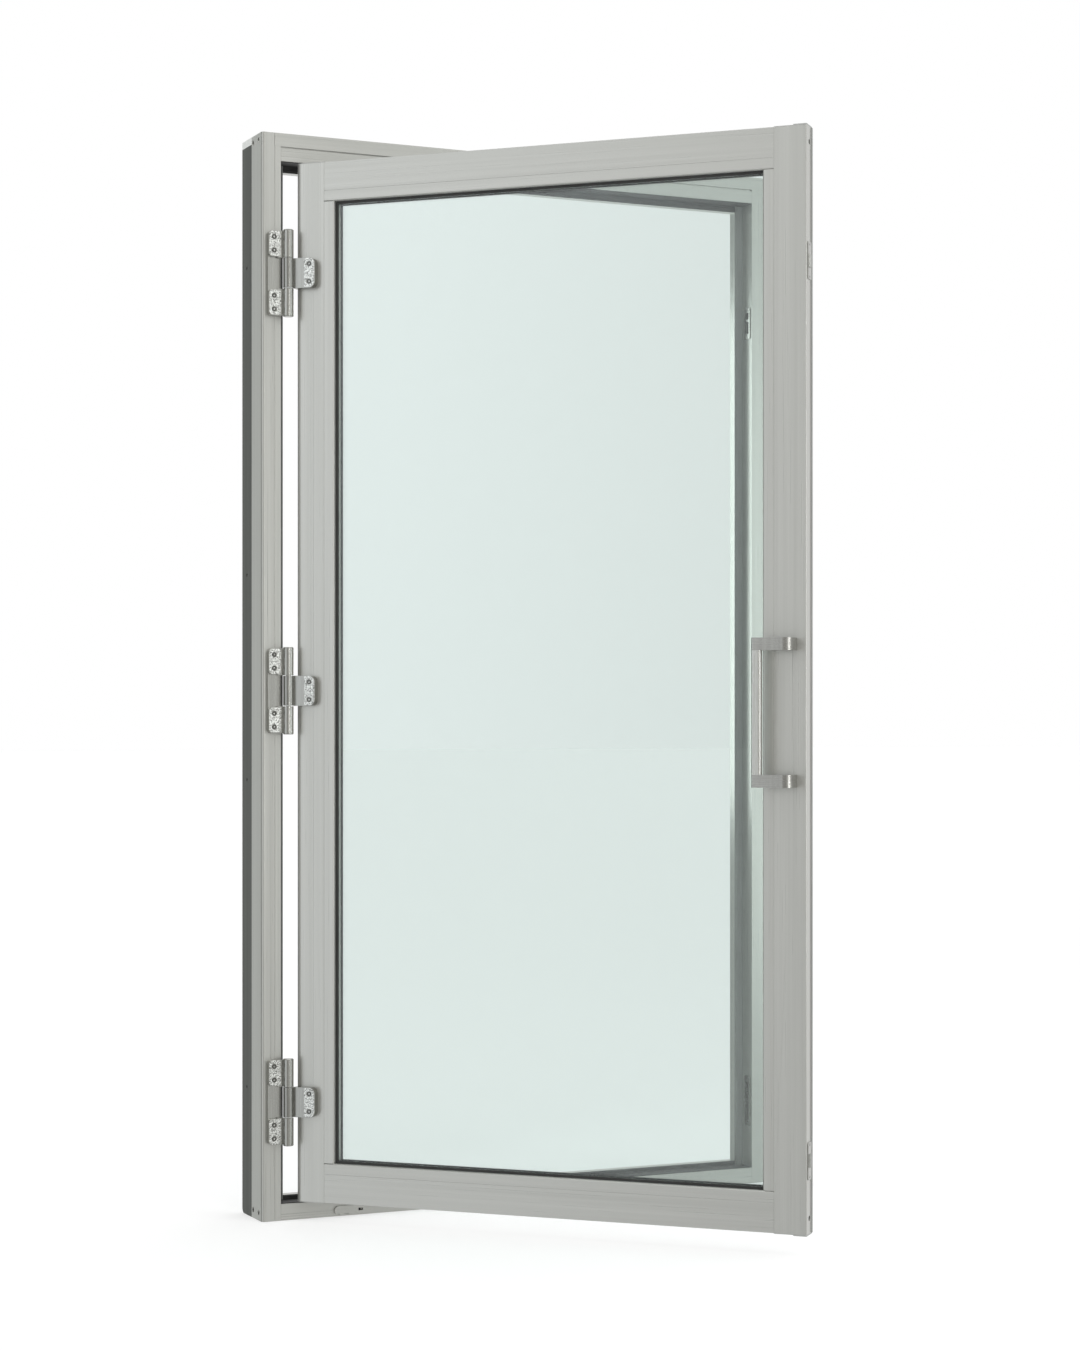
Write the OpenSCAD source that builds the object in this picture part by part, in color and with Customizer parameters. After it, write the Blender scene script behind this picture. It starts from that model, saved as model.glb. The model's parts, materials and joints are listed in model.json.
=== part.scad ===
// A glazed aluminium door: its frame and the leaf, standing open on three hinges.
// Millimetres. +Z is up and the face that the hinges are on looks along -Y.
// The origin is under the middle of the sill.

/* [Overall] */
// Width of the frame, outside to outside
frame_w = 1134; // [900:1:1400]
// Height of the frame, outside to outside
frame_h = 2100; // [1750:1:2600]
// How far the leaf stands open, in degrees
open_angle = 45; // [0:1:95]

/* [Frame profiles] */
// Width of the hinge jamb's face
hinge_jamb_w = 38.5; // [38:0.5:60]
// Width of the lock jamb's face
lock_jamb_w = 57; // [38:0.5:80]
// Height of the head's face
head_h = 54; // [46:1:80]
// Height of the sill's face
sill_h = 32; // [26:1:45]
// Width of the outer band of the jambs and the head
band_w = 26; // [22:0.5:30]
// Room behind the closed leaf for the seals
rebate_clear = 4; // [4:0.5:10]
// Depth of the stops, from the rebate to the frame's back
stop_depth = 20; // [16:1:40]
// How far the jambs' stops stand into the opening
stop_w = 18; // [17:0.5:24]
// How far the stop hangs below the head
head_stop = 14; // [11:0.5:20]
// How far the stop stands above the sill
sill_stop = 10; // [9:0.5:14]
// Wall of the frame profiles
frame_wall = 2; // [1.6:0.1:3]
// Radius of the frame's outer front corner
frame_round = 6; // [2:0.5:8]
// Height of the shadow groove across the head
groove_h = 3; // [1:0.5:5]
// Depth of the shadow groove across the head
groove_d = 4; // [1:0.5:6]

/* [Wall channels] */
// Depth of the channels behind the frame
channel_depth = 57; // [30:1:80]
// Wall of the channels
channel_wall = 3; // [2:0.5:5]
// Width of the flange that lies on the back of the frame
channel_flange = 24; // [16:1:30]
// Height of the channel above the head
head_channel_h = 14; // [10:1:24]
// Radius of the channels' lower rear corner
channel_round = 10; // [4:1:16]
// Bore of the holes for the screws into the wall
wall_hole_d = 6.5; // [4:0.5:10]
// Distance between the two holes of a pair
wall_hole_pitch = 600; // [300:10:700]
// Height of the lowest hole
wall_hole_z = 250; // [150:10:400]

/* [Leaf] */
// Thickness of the leaf
leaf_t = 38; // [34:0.5:40]
// Gap between the hinge jamb and the closed leaf
hinge_gap = 14; // [8:0.5:14]
// Gap between the lock jamb and the closed leaf
lock_gap = 8; // [8:0.5:12]
// Gap between the head and the leaf
top_gap = 6; // [5:0.5:9]
// Gap between the sill and the leaf
bottom_gap = 6; // [5:0.5:8]
// Width of the stiles, up to the glazing bead
stile_w = 61; // [54:1:90]
// Height of the rails, up to the glazing bead
rail_h = 55; // [40:1:120]
// Wall of the stiles and rails
leaf_wall = 2.2; // [1.6:0.1:3]
// Radius of the rounded hinge edge
nose_r = 14; // [2:1:16]
// Width of the glazing beads
bead_w = 21; // [18:0.5:26]
// Depth of the glazing beads
bead_depth = 9; // [7:0.5:10]
// Thickness of the leg that the glass is pressed against
leg_t = 3; // [2:0.5:4]

/* [Glazing] */
// Thickness of each pane
pane_t = 5; // [4:0.5:5]
// Gap between the bead's gasket and the front face of the bead
gasket_t = 3; // [2.5:0.5:4]
// How far the gaskets show past the beads
gasket_lip = 5; // [2:0.5:7]
// The same for the front gasket's side next to the lock stile
lock_lip = 2; // [1:0.5:7]
// Width of the spacer bar between the panes
spacer_w = 7; // [5:0.5:9]
// How far the spacer bar shows past the beads
spacer_show = 3; // [0:0.5:4]
// Clearance between the glass and the stiles and rails
glass_clear = 4; // [3:0.5:6]

/* [Seals] */
// Thickness of the flat part of the rebate seals
seal_t = 1.5; // [1:0.5:2.5]
// Gap left between a seal's rib and the closed leaf
rib_gap = 0.3; // [0.2:0.1:1]
// Width of a seal's rib
rib_w = 3; // [2:0.5:3]

/* [Hinges] */
// Height of the lower hinge's middle
hinge_low_z = 231; // [150:1:350]
// Height of the middle hinge's middle
hinge_middle_z = 1023; // [700:1:1250]
// Distance of the upper hinge's middle from the frame's top
hinge_top_in = 273; // [160:1:400]
// Height of a hinge
hinge_h = 163; // [120:1:200]
// Height of the flag on the leaf
flag_h = 58; // [40:1:70]
// Reach of the flag over the leaf
flag_w = 48; // [40:1:54]
// Width of the plate on the jamb
plate_w = 26; // [22:1:26]
// Distance of the jamb's plate from the frame's outer edge
plate_x = 9; // [8:0.5:10]
// Thickness of the plates at their screws
plate_t = 14.5; // [11:0.5:15]
// Thickness of the jamb's plate behind the flag's knuckle
plate_thin = 8; // [5:0.5:8.5]
// Outer diameter of the knuckles
knuckle_d = 20; // [18:0.5:20]
// Diameter of the hinge pin
pin_d = 10; // [8:0.5:10]
// Distance of the pin from the jamb's inner edge
pin_out = 8.5; // [7:0.5:9]
// Distance of the pin in front of the frame's face
pin_front = 19; // [18:0.5:22]
// Wall of the bush on the pin
bush_t = 2; // [1.5:0.5:2.5]
// Radial clearance between the pin and its bush
pin_fit = 0.05; // [0.02:0.01:0.1]

/* [Pull handle] */
// Height of the handle's middle
handle_z = 980; // [850:5:1150]
// Length of the handle
handle_h = 270; // [200:5:500]
// How far the handle stands off the leaf
handle_out = 46; // [42:1:70]
// Distance of the handle's feet from the free edge
foot_in = 17.5; // [17:0.5:24]
// Width of the grip
grip_w = 18; // [14:1:24]
// Depth of the grip
grip_t = 16; // [12:1:18]
// Height of the arms
arm_h = 23; // [20:1:30]
// Thickness of the arms
arm_t = 11; // [10:0.5:12]
// Sideways distance from the feet to the grip
grip_offset = 65; // [45:1:80]
// Diameter of the bolts through the stile
bolt_d = 6; // [5:0.5:6]

/* [Catches and keeps] */
// Height of the lower catch
catch_low_z = 170; // [140:5:400]
// Distance of the upper catch from the frame's top
catch_top_in = 303; // [300:1:700]
// How far the catch's nose stands out of its plate
nose_out = 3; // [1:0.5:3]
// Thickness of the catch's plate
catch_plate_t = 1.5; // [1:0.5:2]
// Thickness of the keeps
keep_t = 2; // [1:0.5:2]
// Distance of the catches and keeps from the front faces
catch_y = 17; // [15:0.5:18]

/* [Hidden] */

$fn = 48;
cut = 1; // how far a cutter runs past the face that it cuts
aluminium = [0.74, 0.75, 0.73];
dark_aluminium = [0.33, 0.34, 0.32];
steel = [0.66, 0.67, 0.65];
black_rubber = [0.07, 0.07, 0.07];
grey_rubber = [0.55, 0.56, 0.55];
white_plastic = [0.9, 0.91, 0.9];
glass_tint = [0.82, 0.93, 0.9, 0.35];

// Places that several pieces share
rebate = leaf_t + rebate_clear;
frame_depth = rebate + stop_depth;
hinge_z = [hinge_low_z, hinge_middle_z, frame_h - hinge_top_in];
catch_high_z = frame_h - catch_top_in;
opening_x0 = hinge_jamb_w;
opening_x1 = frame_w - lock_jamb_w;
head_z = frame_h - head_h;
leaf_x = opening_x0 + hinge_gap;
leaf_w = opening_x1 - lock_gap - leaf_x;
leaf_z0 = sill_h + bottom_gap;
leaf_z1 = head_z - top_gap;
pin_x = hinge_jamb_w + pin_out;
pin_y = -pin_front;
sight_x = stile_w + bead_w;
sight_z = rail_h + bead_w;
front_pane_y = bead_depth + gasket_t;
rear_pane_y = leaf_t - leg_t - gasket_t - pane_t;

// Screws: a head, a shank and a drive recess
screw_d = 5;
screw_head_d = 9;
screw_head_h = 3;
access_d = screw_head_d + 1;
port_wall = 2;
port_w = screw_d + 2 * port_wall;
front_port_in = 20; // from the front face to the front row of screws
rear_port_in = 9; // from the back face to the rear row
frame_port_y = [front_port_in, frame_depth - rear_port_in];
rail_port_y = leaf_t / 2;
screw_grip = 32;
recess_d = 4;
recess_h = 1.6;

// Points of an arc round c, from angle a0 to a1
function arc(c, r, a0, a1, n = 8) =
    [for (i = [0:n]) let (a = a0 + (a1 - a0) * i / n) c + r * [cos(a), sin(a)]];

// Outline of a rectangle with a radius of its own on each corner, from the lower left
function rounded(x0, y0, x1, y1, r) = concat(
    arc([x0 + r[0], y0 + r[0]], r[0], 180, 270),
    arc([x1 - r[1], y0 + r[1]], r[1], 270, 360),
    arc([x1 - r[2], y1 - r[2]], r[2], 0, 90),
    arc([x0 + r[3], y1 - r[3]], r[3], 90, 180));

// The frame's own corner: x runs from its hinge side, y back from its front face
module at_frame() {
    translate([-frame_w / 2, -frame_depth / 2, 0]) children();
}

// The same, counted from the lock side
module at_lock_side() {
    at_frame() translate([frame_w, 0, 0]) mirror([1, 0, 0]) children();
}

// The leaf's own corner: x runs from its hinge edge, y back from its front face
module at_leaf() {
    at_frame() translate([pin_x, pin_y, 0]) rotate([0, 0, -open_angle])
        translate([leaf_x - pin_x, -pin_y, 0]) children();
}

// The same, counted from the free edge
module at_free_edge() {
    at_leaf() translate([leaf_w, 0, 0]) mirror([1, 0, 0]) children();
}

// Extrudes a (y, z) section from x0 to x1
module along_x(x0, x1) {
    translate([x0, 0, 0]) rotate([90, 0, 90]) linear_extrude(x1 - x0) children();
}

// Extrudes an (x, z) outline from y0 to y1
module along_y(y0, y1) {
    translate([0, y1, 0]) rotate([90, 0, 0]) linear_extrude(y1 - y0) children();
}

module span(x0, x1, y0, y1) {
    translate([x0, y0]) square([x1 - x0, y1 - y0]);
}

module block(x0, x1, y0, y1, z0, z1) {
    translate([x0, y0, z0]) cube([x1 - x0, y1 - y0, z1 - z0]);
}

module bore_x(x0, x1, y, z, d) {
    translate([x0, y, z]) rotate([0, 90, 0]) cylinder(d = d, h = x1 - x0);
}

module bore_y(y0, y1, x, z, d) {
    translate([x, y0, z]) rotate([-90, 0, 0]) cylinder(d = d, h = y1 - y0);
}

// A pan head at the start of a shank along +X, both lengths measured from under the head
module screw_x(grip) {
    difference() {
        union() {
            bore_x(-screw_head_h, 0, 0, 0, screw_head_d);
            bore_x(0, grip, 0, 0, screw_d);
        }
        translate([-screw_head_h - cut, 0, 0]) rotate([0, 90, 0])
            cylinder(d = recess_d, h = recess_h + cut, $fn = 6);
    }
}

// ---- Frame ----

module jamb_section(face_w) {
    w = frame_wall;
    seam_w = 1;
    seam_d = 0.8;
    r = frame_round;
    difference() {
        polygon(concat(arc([r, r], r, 180, 270),
            [[face_w, 0], [face_w, rebate], [face_w + stop_w, rebate],
             [face_w + stop_w, frame_depth], [0, frame_depth]]));
        polygon(rounded(w, w, band_w - w, rebate, [max(r - w, w / 2), w / 2, w / 2, w / 2]));
        span(band_w, face_w - w, w, rebate);
        span(w, band_w - w, rebate + w, frame_depth - w);
        span(band_w, face_w + stop_w - w, rebate + w, frame_depth - w);
        span(band_w - seam_w / 2, band_w + seam_w / 2, -cut, seam_d);
    }
}

module jamb(face_w) {
    head_screw_z = frame_h - band_w / 2;
    sill_screw_z = sill_h / 2;
    difference() {
        linear_extrude(frame_h) jamb_section(face_w);
        block(band_w, face_w + stop_w + cut, -cut, frame_depth + cut, frame_h - band_w, frame_h + cut);
        block(face_w, face_w + stop_w + cut, rebate - cut, frame_depth + cut, head_z, frame_h + cut);
        block(face_w, face_w + stop_w + cut, rebate - cut, frame_depth + cut, -cut, sill_h);
        for (y = frame_port_y) {
            bore_x(-cut, frame_wall + cut, y, head_screw_z, access_d);
            bore_x(band_w - frame_wall - cut, band_w + cut, y, head_screw_z, screw_d);
            bore_x(-cut, band_w + cut, y, sill_screw_z, access_d);
        }
        bore_x(band_w, face_w + cut, frame_port_y[0], sill_screw_z, screw_d);
    }
}

module jamb_hinge_side() {
    color(aluminium) at_frame() difference() {
        jamb(hinge_jamb_w);
        for (z = hinge_z, s = plate_screw_z) bore_y(-cut, plate_bite, plate_screw_x, z + s, screw_d);
    }
}

module jamb_lock_side() {
    color(aluminium) at_lock_side() difference() {
        jamb(lock_jamb_w);
        for (k = [[catch_low_z, keep_low_slots], [catch_high_z, keep_high_slots]], s = k[1])
            block(lock_jamb_w - frame_wall - cut, lock_jamb_w + cut,
                catch_y - keep_slot_w / 2, catch_y + keep_slot_w / 2, k[0] + s[0], k[0] + s[1]);
        for (k = [[catch_low_z, keep_low_h], [catch_high_z, keep_high_h]], s = [-1, 1])
            bore_x(lock_jamb_w - frame_wall - cut, lock_jamb_w + cut, catch_y,
                k[0] + s * (k[1] / 2 - keep_screw_in), keep_screw_d);
    }
}

// Chambers between x0 and x1 that leave a solid rib for each screw port
module ported(x0, x1, z0, z1, ports) {
    edges = concat([x0], [for (p = ports) each [p - port_w / 2, p + port_w / 2]], [x1]);
    for (i = [0:2:len(edges) - 1])
        if (edges[i + 1] > edges[i]) span(edges[i], edges[i + 1], z0, z1);
}

module head() {
    w = frame_wall;
    band_z = head_h - band_w;
    low_top = band_z - groove_h - w;
    color(aluminium) at_frame() translate([0, 0, head_z]) difference() {
        along_x(band_w, frame_w - band_w) difference() {
            polygon([[0, 0], [rebate, 0], [rebate, -head_stop], [frame_depth, -head_stop],
                [frame_depth, head_h], [0, head_h]]);
            span(-cut, groove_d, band_z - groove_h, band_z);
            ported(w, frame_depth - w, band_z + w, head_h - w, frame_port_y);
            span(w, rebate, w, low_top);
            span(rebate + w, frame_depth - w, -head_stop + w, low_top);
            for (y = frame_port_y) translate([y, head_h - band_w / 2]) circle(d = screw_d);
        }
        for (x = [[band_w - cut, opening_x0], [opening_x1, frame_w - band_w + cut]])
            block(x[0], x[1], -cut, frame_depth + cut, -head_stop - cut, band_z);
        for (x = [[opening_x0 - cut, opening_x0 + stop_w], [opening_x1 - stop_w, opening_x1 + cut]])
            block(x[0], x[1], rebate - cut, frame_depth + cut, -head_stop - cut, 0);
    }
}

module sill() {
    w = frame_wall;
    color(aluminium) at_frame() difference() {
        along_x(opening_x0, opening_x1) difference() {
            polygon([[0, 0], [frame_depth, 0], [frame_depth, sill_h + sill_stop],
                [rebate, sill_h + sill_stop], [rebate, sill_h], [0, sill_h]]);
            ported(w, rebate, w, sill_h - w, [frame_port_y[0]]);
            span(rebate + w, frame_depth - w, w, sill_h + sill_stop - w);
            translate([frame_port_y[0], sill_h / 2]) circle(d = screw_d);
        }
        for (x = [[opening_x0 - cut, opening_x0 + stop_w], [opening_x1 - stop_w, opening_x1 + cut]])
            block(x[0], x[1], rebate - cut, frame_depth + cut, sill_h, sill_h + sill_stop + cut);
        block(drain_x - drain_slot_w / 2, drain_x + drain_slot_w / 2, -cut, frame_wall + cut,
            drain_z - drain_slot_h / 2, drain_z + drain_slot_h / 2);
    }
}

// Screws from inside the jambs into the head's and the sill's ports
module frame_screws() {
    color(steel) for (side = [0, 1]) mirror([side, 0, 0]) {
        face_w = side == 0 ? hinge_jamb_w : lock_jamb_w;
        translate([-frame_w / 2, -frame_depth / 2, 0]) {
            for (y = frame_port_y)
                translate([band_w - frame_wall, y, frame_h - band_w / 2]) screw_x(screw_grip);
            translate([face_w - frame_wall, frame_port_y[0], sill_h / 2]) screw_x(screw_grip);
        }
    }
}

// A channel with its web on the frame's outer side and a flange on the frame's back
module side_channel() {
    y0 = frame_depth;
    y1 = frame_depth + channel_depth;
    top = frame_h - head_channel_h;
    lip = 12;
    color(dark_aluminium) difference() {
        union() {
            along_x(0, channel_wall) polygon(rounded(y0, 0, y1, top, [0, channel_round, 0, 0]));
            block(channel_wall, channel_flange, y0, y0 + channel_wall, 0, top);
            block(channel_wall, lip, y1 - channel_wall, y1, channel_round, top);
        }
        for (z = wall_holes_z) bore_x(-cut, channel_wall + cut, y0 + channel_depth / 2, z, wall_hole_d);
    }
}

wall_holes_z = [wall_hole_z, wall_hole_z + wall_hole_pitch,
    frame_h - wall_hole_z - wall_hole_pitch, frame_h - wall_hole_z];

module wall_channel_hinge_side() { at_frame() side_channel(); }

module wall_channel_lock_side() { at_lock_side() side_channel(); }

// A closed box section over both side channels
module wall_channel_head() {
    w = channel_wall;
    color(white_plastic) at_frame() difference() {
        block(0, frame_w, frame_depth, frame_depth + channel_depth, frame_h - head_channel_h, frame_h);
        block(w, frame_w - w, frame_depth + w, frame_depth + channel_depth - w,
            frame_h - head_channel_h + w, frame_h - w);
    }
}

// Section of a seal: a flat strip on the stop and a rib that the leaf presses on.
// It stands in (across, -y), with the stop's face at 0.
function seal_strip(reach, rib_at) = let (h = rebate - leaf_t - rib_gap, tip = rib_w / 4) [
    [0, 0], [0, -seal_t], [rib_at - rib_w / 2, -seal_t], [rib_at - tip, -h], [rib_at + tip, -h],
    [rib_at + rib_w / 2, -seal_t], [reach, -seal_t], [reach, 0]];

module jamb_seal(gap) {
    linear_extrude(head_z - sill_h - 2 * seal_t) polygon(seal_strip(stop_w, (gap + stop_w) / 2));
}

module seal_hinge_jamb() {
    color(black_rubber) at_frame() translate([hinge_jamb_w, rebate, sill_h + seal_t]) jamb_seal(hinge_gap);
}

module seal_lock_jamb() {
    color(black_rubber) at_lock_side() translate([lock_jamb_w, rebate, sill_h + seal_t]) jamb_seal(lock_gap);
}

// The head's and the sill's seals also line the rebate
module cross_seal(stop_h, gap) {
    lining_front = 3;
    strip = [for (p = seal_strip(stop_h, (gap + stop_h) / 2)) [rebate + p[1], p[0]]];
    along_x(opening_x0 + stop_w, opening_x1 - stop_w) polygon(strip);
    along_x(opening_x0, opening_x1) span(lining_front, rebate, 0, seal_t);
}

module seal_head() {
    color(black_rubber) at_frame() translate([0, 0, head_z]) mirror([0, 0, 1]) cross_seal(head_stop, top_gap);
}

module seal_sill() {
    color(black_rubber) at_frame() translate([0, 0, sill_h]) cross_seal(sill_stop, bottom_gap);
}

// Oval hood over the sill's drain slot
drain_x = 181;
drain_z = 11.5;
drain_w = 67;
drain_h = 17;
drain_t = 4;
drain_wall = 1.2;
drain_slot_w = 44;
drain_slot_h = 7;

module drain_cover() {
    r = drain_h / 2;
    window_w = 9;
    window_h = 5;
    color(aluminium) at_frame() translate([drain_x, 0, drain_z]) difference() {
        along_y(-drain_t, 0) polygon(rounded(-drain_w / 2, -r, drain_w / 2, r, [r, r, r, r]));
        along_y(-drain_t + drain_wall, cut)
            polygon(rounded(-drain_w / 2 + drain_wall, -r + drain_wall, drain_w / 2 - drain_wall,
                r - drain_wall, [for (i = [0:3]) r - drain_wall]));
        translate([drain_w / 2 - r - window_w / 2, 0, 0])
            block(-window_w / 2, window_w / 2, -drain_t - cut, 0, -window_h / 2, window_h / 2);
        for (s = [-1, 0])
            translate([s * window_w * 2 - window_w, 0, -r])
                block(-window_w / 2, window_w / 2, -drain_t - cut, -drain_wall, -cut, drain_wall + cut);
    }
}

// Keeps on the lock jamb, with slots over pockets in the jamb
keep_w = 22;
keep_slot_w = 12;
keep_low_h = 104;
keep_high_h = 66;
keep_low_slots = [[-42, -3], [3, 19], [24, 40]];
keep_high_slots = [[-22, 3], [9, 22]];
keep_screw_in = 5;
keep_round = 3;
keep_screw_d = 4;
keep_screw_head_d = 7;
keep_screw_head_h = 1.2;
keep_screw_l = 12;

module keep(z, h, slots) {
    color(steel) at_lock_side() translate([lock_jamb_w, catch_y, z]) difference() {
        along_x(0, keep_t) polygon(rounded(-keep_w / 2, -h / 2, keep_w / 2, h / 2, [for (i = [0:3]) keep_round]));
        for (s = slots) block(-cut, keep_t + cut, -keep_slot_w / 2, keep_slot_w / 2, s[0], s[1]);
        for (s = [-1, 1]) {
            bore_x(-cut, keep_t + cut, 0, s * (h / 2 - keep_screw_in), keep_screw_d);
            bore_x(keep_t - keep_screw_head_h, keep_t + cut, 0, s * (h / 2 - keep_screw_in), keep_screw_head_d);
        }
    }
}

module keep_upper() { keep(catch_high_z, keep_high_h, keep_high_slots); }

module keep_lower() { keep(catch_low_z, keep_low_h, keep_low_slots); }

module keep_screws() {
    color(steel) at_lock_side()
        for (k = [[catch_low_z, keep_low_h], [catch_high_z, keep_high_h]], s = [-1, 1])
            translate([lock_jamb_w + keep_t - keep_screw_head_h, catch_y, k[0] + s * (k[1] / 2 - keep_screw_in)])
                difference() {
                    union() {
                        bore_x(0, keep_screw_head_h, 0, 0, keep_screw_head_d);
                        bore_x(-keep_screw_l, 0, 0, 0, keep_screw_d);
                    }
                    rotate([0, 90, 0]) translate([0, 0, keep_screw_head_h / 2])
                        cylinder(d = recess_d - 1, h = keep_screw_head_h, $fn = 6);
                }
}

// ---- Hinges ----

knuckle_r = knuckle_d / 2;
strap_t = 5.5;
pad_h = 50;
pad_round = 8;
flag_round = 12;
knuckle_gap = 1; // between the flag's knuckle and the two on the jamb, filled below by the bush
flange_gap = 0.1; // under the bush's flange
flange_in = 0.5; // from the flange's edge to the knuckle's
flag_x0 = 3; // from the leaf's hinge edge to the flag's plate
cap_h = 2.5;
plate_bite = 3; // how deep a plate's screws run into the jamb's wall
plate_screw_x = plate_x + plate_w / 2 - 2;
pad_screw_pitch = 26;
plate_screw_z = [for (s = [-1, 1], t = [-1, 1]) s * (hinge_h - pad_h) / 2 + t * pad_screw_pitch / 2];
flag_screw_x = 36;
flag_screw_pitch = 34;
head_sink = 2; // how deep a hinge screw's head sits

module hinge_plate(z) {
    half = hinge_h / 2;
    r = pad_round;
    strap_y = pin_y + knuckle_r;
    color(steel) at_frame() translate([0, 0, z]) difference() {
        union() {
            along_y(-plate_thin, 0)
                polygon(rounded(plate_x, -half, plate_x + plate_w, half, [r, r, r, r]));
            for (s = [0, 1]) mirror([0, 0, s]) {
                along_y(-plate_t, 0)
                    polygon(rounded(plate_x, half - pad_h, plate_x + plate_w, half, [r, 0, r, r]));
                block(plate_x + plate_w - r, pin_x, strap_y - strap_t, strap_y,
                    flag_h / 2 + knuckle_gap, half);
                translate([pin_x, pin_y, flag_h / 2 + knuckle_gap])
                    cylinder(r = knuckle_r, h = half - flag_h / 2 - knuckle_gap);
            }
        }
        translate([pin_x, pin_y, -half - cut]) cylinder(d = pin_d, h = hinge_h + 2 * cut);
        translate([pin_x, pin_y, -flag_h / 2 - knuckle_gap])
            cylinder(r = knuckle_r + knuckle_gap, h = flag_h + 2 * knuckle_gap);
        for (s = plate_screw_z) {
            bore_y(-plate_t - cut, cut, plate_screw_x, s, screw_d);
            bore_y(-plate_t - cut, -plate_t + head_sink, plate_screw_x, s, screw_head_d);
        }
    }
}

module hinge_plate_lower() { hinge_plate(hinge_z[0]); }

module hinge_plate_middle() { hinge_plate(hinge_z[1]); }

module hinge_plate_upper() { hinge_plate(hinge_z[2]); }

module hinge_pin(z) {
    color(steel) at_frame() translate([pin_x, pin_y, z]) {
        translate([0, 0, -hinge_h / 2]) cylinder(d = pin_d, h = hinge_h);
        for (s = [0, 1]) mirror([0, 0, s]) translate([0, 0, hinge_h / 2]) {
            cylinder(r = knuckle_r, h = cap_h / 2);
            translate([0, 0, cap_h / 2]) cylinder(r1 = knuckle_r, r2 = knuckle_r - cap_h / 2, h = cap_h / 2);
        }
    }
}

module hinge_pin_lower() { hinge_pin(hinge_z[0]); }

module hinge_pin_middle() { hinge_pin(hinge_z[1]); }

module hinge_pin_upper() { hinge_pin(hinge_z[2]); }

module hinge_plate_screws() {
    color(steel) at_frame() for (z = hinge_z, s = plate_screw_z)
        translate([plate_screw_x, -plate_t + head_sink, z + s]) rotate([0, 0, 90])
            screw_x(plate_t - head_sink + plate_bite);
}

// The flag is counted from the leaf's hinge edge
flag_pin_x = pin_x - leaf_x;

module hinge_flag(z) {
    half = flag_h / 2;
    r = flag_round;
    strap_y = pin_y + knuckle_r;
    color(steel) at_leaf() translate([0, 0, z]) difference() {
        union() {
            along_y(-plate_t, 0) polygon(rounded(flag_x0, -half, flag_w, half, [0, r, r, 0]));
            block(flag_pin_x, flag_x0 + cut, strap_y - strap_t, strap_y, -half + knuckle_gap, half);
            translate([flag_pin_x, pin_y, -half + knuckle_gap])
                cylinder(r = knuckle_r, h = flag_h - knuckle_gap);
        }
        translate([flag_pin_x, pin_y, -half - cut]) cylinder(r = bush_r, h = flag_h + 2 * cut);
        for (s = [-1, 1]) {
            bore_y(-plate_t - cut, cut, flag_screw_x, s * flag_screw_pitch / 2, screw_d);
            bore_y(-plate_t - cut, -plate_t + head_sink, flag_screw_x, s * flag_screw_pitch / 2, screw_head_d);
        }
    }
}

bush_r = pin_d / 2 + pin_fit + bush_t;
flange_r = min(knuckle_r - flange_in, norm([flag_x0 - flag_pin_x, pin_front - plate_t]) - flange_gap);

module hinge_flag_lower() { hinge_flag(hinge_z[0]); }

module hinge_flag_middle() { hinge_flag(hinge_z[1]); }

module hinge_flag_upper() { hinge_flag(hinge_z[2]); }

// A sleeve in the flag's knuckle, with a flange that carries the leaf
module hinge_bush(z) {
    color(white_plastic) at_leaf() translate([flag_pin_x, pin_y, z - flag_h / 2]) difference() {
        union() {
            translate([0, 0, knuckle_gap]) cylinder(r = bush_r, h = flag_h - knuckle_gap);
            translate([0, 0, flange_gap]) cylinder(r = flange_r, h = knuckle_gap - flange_gap);
        }
        translate([0, 0, -cut]) cylinder(r = pin_d / 2 + pin_fit, h = flag_h + 2 * cut);
    }
}

module hinge_bush_lower() { hinge_bush(hinge_z[0]); }

module hinge_bush_middle() { hinge_bush(hinge_z[1]); }

module hinge_bush_upper() { hinge_bush(hinge_z[2]); }

module hinge_flag_screws() {
    color(steel) at_leaf() for (z = hinge_z, s = [-1, 1])
        translate([flag_screw_x, -plate_t + head_sink, z + s * flag_screw_pitch / 2])
            rotate([0, 0, 90]) screw_x(plate_t - head_sink + leaf_wall);
}

// ---- Leaf ----

leg_reach = bead_w - 1;
rail_port_z = rail_h / 2;

// Counted from the member's outer edge; r is the radius of its front outer corner
module stile_section(r) {
    w = leaf_wall;
    web = stile_w / 2;
    difference() {
        polygon(concat(arc([r, r], r, 180, 270),
            [[stile_w, 0], [stile_w, leaf_t - leg_t], [stile_w + leg_reach, leaf_t - leg_t],
             [stile_w + leg_reach, leaf_t], [0, leaf_t]]));
        polygon(rounded(w, w, web - w / 2, leaf_t - w, [max(r - w, w / 2), w / 2, w / 2, w / 2]));
        span(web + w / 2, stile_w - w, w, leaf_t - w);
    }
}

module stile(r) {
    w = leaf_wall;
    difference() {
        translate([0, 0, leaf_z0]) linear_extrude(leaf_z1 - leaf_z0) stile_section(r);
        for (z = [[leaf_z0 - cut, leaf_z0 + rail_h], [leaf_z1 - rail_h, leaf_z1 + cut]])
            block(stile_w, stile_w + leg_reach + cut, leaf_t - leg_t - cut, leaf_t + cut, z[0], z[1]);
        for (z = rail_screws_z) {
            bore_x(-cut, stile_w - w - cut, rail_port_y, z, access_d);
            bore_x(stile_w - w - cut, stile_w + cut, rail_port_y, z, screw_d);
        }
    }
}

rail_screws_z = [leaf_z0 + rail_port_z, leaf_z1 - rail_port_z];

module stile_hinge_side() {
    color(aluminium) at_leaf() difference() {
        stile(nose_r);
        for (z = hinge_z, s = [-1, 1])
            bore_y(-cut, leaf_wall + cut, flag_screw_x, z + s * flag_screw_pitch / 2, screw_d);
    }
}

free_edge_round = 2;
foot_x = foot_in + arm_t / 2;
foot_z = [handle_z - (handle_h - arm_h) / 2, handle_z + (handle_h - arm_h) / 2];

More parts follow.
